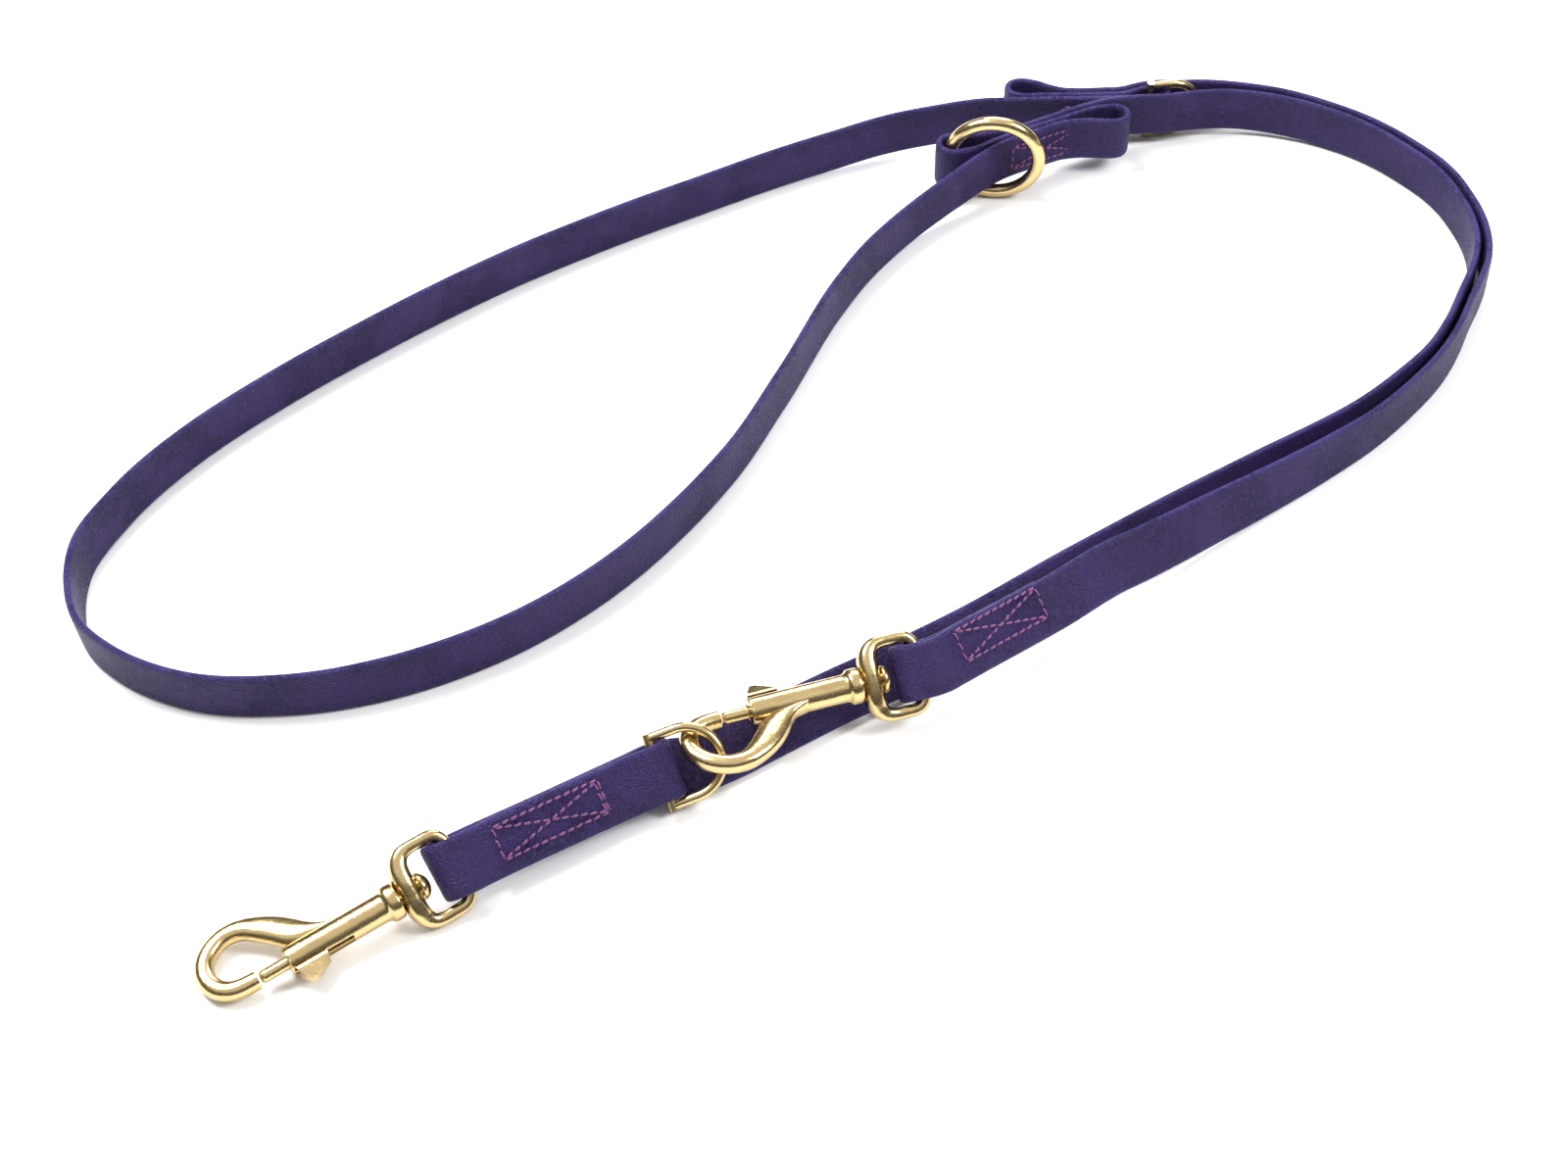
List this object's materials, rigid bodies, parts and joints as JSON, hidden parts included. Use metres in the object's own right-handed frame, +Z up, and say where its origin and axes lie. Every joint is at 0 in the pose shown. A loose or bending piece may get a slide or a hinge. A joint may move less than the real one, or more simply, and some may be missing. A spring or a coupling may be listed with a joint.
{
  "type": "training leash",
  "caption": "Flat strap training leash with a sewn hand loop, a round ring and D-rings held in stitched folds, and a swivel bolt snap at each end.",
  "frame": {"origin": "centre of the bounding box in X and Y, on the floor it lies on", "axes": "+X along the long way of the laid-out leash towards the paired straps, +Y away from the snaps, +Z up"},
  "size_m": [0.5238, 0.4574, 0.0408],
  "materials": {
    "strap": "satin, fine grain",
    "thread": "twisted sewing thread",
    "brass": "polished",
    "spring": "bright wire"
  },
  "bodies": {
    "strap": {"strap_end_a": "strap", "strap_lead_near": "strap", "strap_ring_fold": "strap", "strap_hand_loop": "strap", "strap_d_fold": "strap", "strap_lead_far": "strap", "strap_end_b": "strap", "stitch_box_a": "thread", "stitch_box_b": "thread", "stitch_box_c": "thread", "stitch_box_d": "thread"},
    "o_ring": {"o_ring": "brass"},
    "d_ring_1": {"d_ring_1": "brass"},
    "d_ring_2": {"d_ring_2": "brass"},
    "eye_a": {"snap_a_eye": "brass"},
    "snap_a": {"snap_a_body": "brass", "snap_a_spring": "spring"},
    "bolt_a": {"snap_a_plunger": "brass", "snap_a_knob": "brass"},
    "eye_b": {"snap_b_eye": "brass"},
    "snap_b": {"snap_b_body": "brass", "snap_b_spring": "spring"},
    "bolt_b": {"snap_b_plunger": "brass", "snap_b_knob": "brass"}
  },
  "joints": [
    {"name": "eye_a_hinge", "type": "hinge", "parent": "strap", "child": "eye_a", "pos_m": [-0.11688, -0.18364, 0.01272], "axis": [-0.4576, 0.5473, 0.7008], "range_deg": [-30, 45]},
    {"name": "swivel_a", "type": "hinge", "parent": "eye_a", "child": "snap_a", "pos_m": [-0.13424, -0.19522, 0.01042], "axis": [-0.827, -0.5515, -0.1093], "continuous": true},
    {"name": "bolt_a_slide", "type": "slide", "parent": "snap_a", "child": "bolt_a", "axis": [0.827, 0.5515, 0.1093], "range_m": [0, 0.009], "stiffness_N_per_m": 300, "springref_m": -0.008, "deforming": ["snap_a_spring"]},
    {"name": "eye_b_hinge", "type": "hinge", "parent": "strap", "child": "eye_b", "pos_m": [0.02978, -0.10331, 0.01601], "axis": [-0.2244, 0.6705, 0.7071], "range_deg": [-0.3, 0.3]},
    {"name": "swivel_b", "type": "hinge", "parent": "eye_b", "child": "snap_b", "pos_m": [0.01, -0.11036, 0.01643], "axis": [-0.9416, -0.3361, 0.0199], "range_deg": [-1, 1]},
    {"name": "bolt_b_slide", "type": "slide", "parent": "snap_b", "child": "bolt_b", "axis": [0.9416, 0.3361, -0.0199], "range_m": [0, 0.009], "stiffness_N_per_m": 300, "springref_m": -0.008, "deforming": ["snap_b_spring"]},
    {"name": "d_ring_1_hinge", "type": "hinge", "parent": "strap", "child": "d_ring_1", "pos_m": [-0.05466, -0.14504, 0.01244], "axis": [-0.3536, 0.6124, 0.7071], "range_deg": [-1, 1]},
    {"name": "d_ring_2_hinge", "type": "hinge", "parent": "strap", "child": "d_ring_2", "pos_m": [0.13649, 0.21916, 0.0132], "axis": [0, 0, 1], "range_deg": [-3, 2]},
    {"name": "o_ring_hinge", "type": "hinge", "parent": "strap", "child": "o_ring", "pos_m": [0.056, 0.1782, 0], "axis": [0, 0, 1], "range_deg": [-6, 4]}
  ]
}
